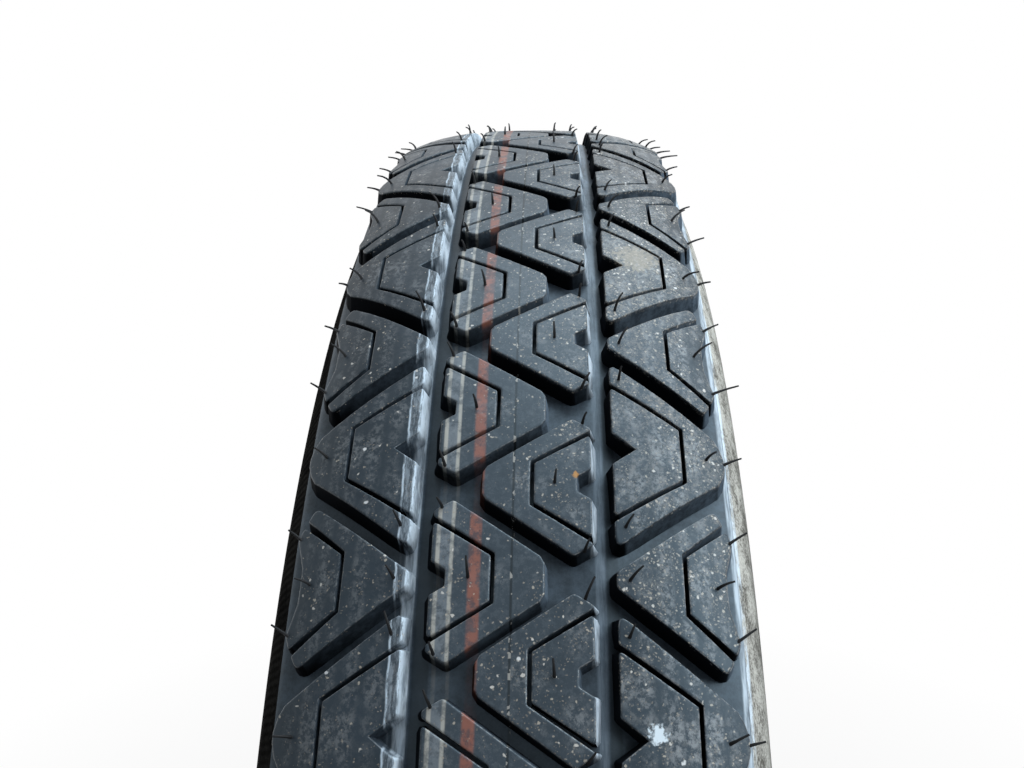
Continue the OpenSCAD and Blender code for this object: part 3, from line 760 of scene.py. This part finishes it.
rubber = tyre_material()
hair_rubber = plain_material("vent_rubber", 0.008, 0.016, 0.6, tint=(0.95, 1, 1.1), shine=0.15)
paint = steel_material()
valve_rubber = plain_material("valve_rubber", 0.016, 0.028, 0.6)
brass = plain_material("brass", 0.52, 0.62, 0.3, metallic=1.0, bump=0.08, tint=(1.0, 0.76, 0.36))
gasket = plain_material("gasket", 0.62, 0.74, 0.45, tint=(1, 1, 0.95))
spring_steel = plain_material("spring_steel", 0.5, 0.6, 0.28, metallic=1.0, bump=0.05)
cap_plastic = plain_material("cap_plastic", 0.016, 0.026, 0.42, grain=700.0)

finishes = {
    "rim_barrel": paint, "wheel_disc": paint, "disc_welds": paint,
    "valve_body": valve_rubber, "valve_core_seal": valve_rubber, "valve_cap_seal": valve_rubber,
    "valve_stem": brass, "valve_core_plug": brass, "valve_core_barrel": brass,
    "valve_core_pin": brass, "valve_core_cup": brass, "valve_core_gasket": gasket,
    "valve_core_spring": spring_steel, "valve_cap": cap_plastic, "tyre": rubber}
for name, finish in finishes.items():
    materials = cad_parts[name].data.materials
    if not materials:
        materials.append(finish)
    for i in range(len(materials)):
        materials[i] = finish

# Tyre pieces

CARCASS_STEPS = 300
tyre_pieces = [
    new_piece("tyre_carcass", *lathe(whole_profile, CARCASS_STEPS), rubber, smooth_angle=40),
    new_piece("tyre_shoulder_blocks", *joined(shoulder_parts), rubber, smooth_angle=52),
    new_piece("tyre_rib_blocks", *joined(rib_parts), rubber, smooth_angle=52)]
for piece in tyre_pieces:
    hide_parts("tyre")
    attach(piece, "wheel")

# Vent hairs on each kind of block: (w, t, lean along w, lean along t, height) in millimetres
small_hairs = [
    (25.7, 0, 2.5, 3.2, 3.4),
    (45.2, 0, 5.0, 2.3, 2.6),
    (48.9, 11.5, 5.5, 2.2, 0.6),
    (48.9, -11.5, 5.5, 2.2, 0.6)]
big_hairs = [
    (25.2, 20.6, 2.0, 3.1, 3.2),
    (25.2, -20.6, 2.0, 3.1, 3.2),
    (45.4, 0, 4.4, 1.0, 2.6),
    (49.8, 0, 5.0, 2.0, 0.4)]
rib_hairs = [
    (9.4, 0, 0.4, 4.2, 3.2),
    (16.0, 16.7, 1.6, 2.6, 2.8),
    (16.0, -16.7, 1.6, 2.6, 2.8)]
HAIR_SIDES = 6
HAIR_STEPS = 4
HAIR_FOOT_R = 0.42
HAIR_TIP_R = 0.22
HAIR_ROOT = 0.4
# The bend is in radians, and the lost hairs are a share of all
HAIR_BEND = 1.5
HAIR_LOST = 0.12
# The hairs' middle lines stand out of the tyre's box by this much at most
PROUD = 2.5
dice = random.Random(11)


def hair(w, turn, lean_w, lean_t, height):
    """One moulded vent hair: a thin bent peg, kept within the box of the tyre and a little more."""
    stretch = dice.uniform(0.6, 1.15)
    lean_w = lean_w * stretch + dice.uniform(-0.8, 0.8)
    lean_t = lean_t * stretch + dice.uniform(-1.2, 1.2)
    height = height * dice.uniform(0.7, 1.15)
    limit = TYRE_R + PROUD
    path = []
    for k in range(HAIR_STEPS + 1):
        s = k / HAIR_STEPS
        radius = crown(w) - HAIR_ROOT + (height + HAIR_ROOT) * math.sin(s * HAIR_BEND)
        bent = s * (0.4 + 0.6 * s)
        a = turn + lean_t * bent / TYRE_R
        point = Vector((radius * math.cos(a), w + lean_w * bent, radius * math.sin(a)))
        for axis in (0, 2):
            point[axis] = max(-limit, min(limit, point[axis]))
        path.append(point)
    verts = []
    for k, point in enumerate(path):
        ahead = path[min(k + 1, HAIR_STEPS)] - path[max(k - 1, 0)]
        ahead.normalize()
        side = ahead.cross(Vector((0.3, 1, 0.2))).normalized()
        other = ahead.cross(side)
        size = HAIR_FOOT_R + (HAIR_TIP_R - HAIR_FOOT_R) * k / HAIR_STEPS
        for i in range(HAIR_SIDES):
            b = math.tau * i / HAIR_SIDES
            verts.append((point + side * size * math.cos(b) + other * size * math.sin(b)) * MM)
    faces = tube(HAIR_STEPS + 1, HAIR_SIDES)
    faces.append([HAIR_STEPS * HAIR_SIDES + i for i in range(HAIR_SIDES)])
    return np.array(verts), faces


hair_parts = []
for hand, rib_angles in ((-1, left_angles), (1, right_angles)):
    for pegs, angles in ((small_hairs, small_angles), (big_hairs, big_angles), (rib_hairs, rib_angles)):
        for angle in angles:
            for w, t, lean_w, lean_t, height in pegs:
                if dice.random() < HAIR_LOST:
                    continue
                hair_parts.append(hair(w * hand, angle + t / TYRE_R, lean_w * hand, lean_t, height))
hairs = new_piece("tyre_vent_hairs", *joined(hair_parts), hair_rubber, smooth_angle=60)
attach(hairs, "wheel")

# Valve spring, wound of round wire and built at one length; in the valve the pin squeezes it towards its foot
# Its foot and head are places along the valve's axis from the valve's seat, in millimetres

VALVE_SEAT = Vector((0, -20.75, -219.4))
VALVE_AXIS = Vector((0, -0.7682, 0.6402))
SPRING_FOOT = 15.0
SPRING_HEAD = 23.7
SPRING_R = 0.95
WIRE_R = 0.15
SPRING_TURNS = 9
TURN_STEPS = 24
WIRE_SIDES = 8


def spring_mesh():
    """The spring's wire as a tube with both ends closed."""
    steps = SPRING_TURNS * TURN_STEPS
    u = Vector((1, 0, 0))
    v = VALVE_AXIS.cross(u)
    verts = []
    for k in range(steps + 1):
        a = math.tau * SPRING_TURNS * k / steps
        out = u * math.cos(a) + v * math.sin(a)
        height = SPRING_FOOT + (SPRING_HEAD - SPRING_FOOT) * k / steps
        centre = VALVE_SEAT + VALVE_AXIS * height + out * SPRING_R
        for i in range(WIRE_SIDES):
            b = math.tau * i / WIRE_SIDES
            verts.append((centre + (out * math.cos(b) + VALVE_AXIS * math.sin(b)) * WIRE_R) * MM)
    faces = tube(steps + 1, WIRE_SIDES)
    faces.append(list(reversed(range(WIRE_SIDES))))
    faces.append([steps * WIRE_SIDES + i for i in range(WIRE_SIDES)])
    return verts, faces


spring = new_piece("valve_spring", *spring_mesh(), spring_steel, smooth_angle=60)
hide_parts("valve_core_spring")
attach(spring, "wheel")
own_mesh(spring)

# Floor, light and camera

FLOOR_HALF = 12.0
FLOOR_GAP = 0.0005
FLOOR_GREY = 0.2
# The floor's own white grows from this share near the wheel to all of it, over these distances in metres
NEAR_WHITE = 0.84
NEAR = 0.3
FAR = 0.8
AMBIENT_BLUE = (0.82, 0.9, 1.0, 1)
AMBIENT_STRENGTH = 0.085


def white_rays(tree):
    """1 for the rays that see the white background: the camera's, and those by way of metal or glass."""
    path = tree.nodes.new("ShaderNodeLightPath")
    seen = path.outputs["Is Camera Ray"]
    for kind in ("Is Glossy Ray", "Is Transmission Ray"):
        either = tree.nodes.new("ShaderNodeMath")
        either.operation = "MAXIMUM"
        tree.links.new(seen, either.inputs[0])
        tree.links.new(path.outputs[kind], either.inputs[1])
        seen = either.outputs[0]
    return seen


def white_mix(tree, kind, usual, white, share):
    """What the tree's output shows: white by the share, and else the usual shader."""
    mix = tree.nodes.new("ShaderNodeMixShader")
    out = tree.nodes.new(kind)
    tree.links.new(share, mix.inputs[0])
    tree.links.new(usual.outputs[0], mix.inputs[1])
    tree.links.new(white.outputs[0], mix.inputs[2])
    tree.links.new(mix.outputs[0], out.inputs["Surface"])


def stage_material():
    """White to the camera, with the wheel's shadow kept."""
    material = bpy.data.materials.new("stage_white")
    material.use_nodes = True
    tree = material.node_tree
    tree.nodes.clear()
    diffuse = tree.nodes.new("ShaderNodeBsdfDiffuse")
    diffuse.inputs["Color"].default_value = grey(FLOOR_GREY)
    glow = tree.nodes.new("ShaderNodeEmission")
    glow.inputs["Strength"].default_value = 1.0
    place = tree.nodes.new("ShaderNodeTexCoord")
    reach = tree.nodes.new("ShaderNodeVectorMath")
    reach.operation = "LENGTH"
    whiter = tree.nodes.new("ShaderNodeMapRange")
    for key, number in (("From Min", NEAR), ("From Max", FAR), ("To Min", NEAR_WHITE), ("To Max", 1.0)):
        whiter.inputs[key].default_value = number
    share = tree.nodes.new("ShaderNodeMath")
    share.operation = "MULTIPLY"
    tree.links.new(place.outputs["Object"], reach.inputs[0])
    tree.links.new(reach.outputs["Value"], whiter.inputs["Value"])
    tree.links.new(white_rays(tree), share.inputs[0])
    tree.links.new(whiter.outputs[0], share.inputs[1])
    white_mix(tree, "ShaderNodeOutputMaterial", diffuse, glow, share.outputs[0])
    return material


floor_z = -TYRE_R * MM - FLOOR_GAP
corners = [(x * FLOOR_HALF, y * FLOOR_HALF) for x, y in ((-1, -1), (1, -1), (1, 1), (-1, 1))]
floor = new_piece("floor", [(x, y, floor_z) for x, y in corners], [[0, 1, 2, 3]], stage_material())

world = bpy.data.worlds.new("studio")
bpy.context.scene.world = world
world.use_nodes = True
tree = world.node_tree
tree.nodes.clear()
seen = tree.nodes.new("ShaderNodeBackground")
seen.inputs["Color"].default_value = (1, 1, 1, 1)
ambient = tree.nodes.new("ShaderNodeBackground")
ambient.inputs["Color"].default_value = AMBIENT_BLUE
ambient.inputs["Strength"].default_value = AMBIENT_STRENGTH
white_mix(tree, "ShaderNodeOutputWorld", ambient, seen, white_rays(tree))


def area_light(name, place, aim, size, power, colour):
    """A round light at a place in metres, pointed at its aim."""
    data = bpy.data.lights.new(name, "AREA")
    data.shape = "DISK"
    data.size = size
    data.energy = power
    data.color = colour
    light = bpy.data.objects.new(name, data)
    bpy.context.scene.collection.objects.link(light)
    turn = (Vector(aim) - Vector(place)).to_track_quat("-Z", "Y").to_matrix()
    light.matrix_world = Matrix.Translation(place) @ turn.to_4x4()


area_light(
    "sky_light", place=(-0.6, 0.6, 2.3), aim=(0.1, 0, 0.1), size=2.0, power=58, colour=(0.82, 0.93, 1.0))
area_light(
    "side_light", place=(0.6, 1.8, 1.7), aim=(0.2, 0, 0.2), size=2.0, power=62, colour=(0.89, 0.96, 1.0))
area_light(
    "front_fill", place=(2.6, 0.6, 1.6), aim=(0, 0, 0), size=2.2, power=3, colour=(0.92, 0.96, 1.0))
area_light(
    "outboard_fill", place=(-1.0, -2.5, 0.8), aim=(0, 0, 0), size=2.4, power=12, colour=(0.95, 0.98, 1.0))

camera_data = bpy.data.cameras.new("photo_camera")
camera_data.sensor_width = 36.0
camera_data.lens = 35.0
camera_data.clip_start = 0.01
camera = bpy.data.objects.new("photo_camera", camera_data)
bpy.context.scene.collection.objects.link(camera)
bpy.context.scene.camera = camera

# The photograph's camera: the angle round the axle that it looks at, in degrees, its place along the axle and
# its distance from it in millimetres, and its turns in degrees against a straight look at the axle
ELEVATION = 40.08
CAMERA_ALONG = 8.4
CAMERA_OUT = 528.2
CAMERA_TURNS = (-22.45, -2.22, -0.18)


def turned(rx, ry, rz):
    """Rotation by three angles in degrees, about x first and z last."""
    about_x = Matrix.Rotation(math.radians(rx), 3, "X")
    about_y = Matrix.Rotation(math.radians(ry), 3, "Y")
    about_z = Matrix.Rotation(math.radians(rz), 3, "Z")
    return about_z @ about_y @ about_x


lift = math.radians(ELEVATION)
along = Vector((0, 1, 0))
up_tread = Vector((-math.sin(lift), 0, math.cos(lift)))
outward = Vector((math.cos(lift), 0, math.sin(lift)))
axes = turned(*CAMERA_TURNS) @ Matrix((along, up_tread, outward))
camera_place = (along * CAMERA_ALONG + outward * CAMERA_OUT) * MM
camera.matrix_world = Matrix.Translation(camera_place) @ axes.transposed().to_4x4()

bpy.context.scene.view_settings.view_transform = "Standard"
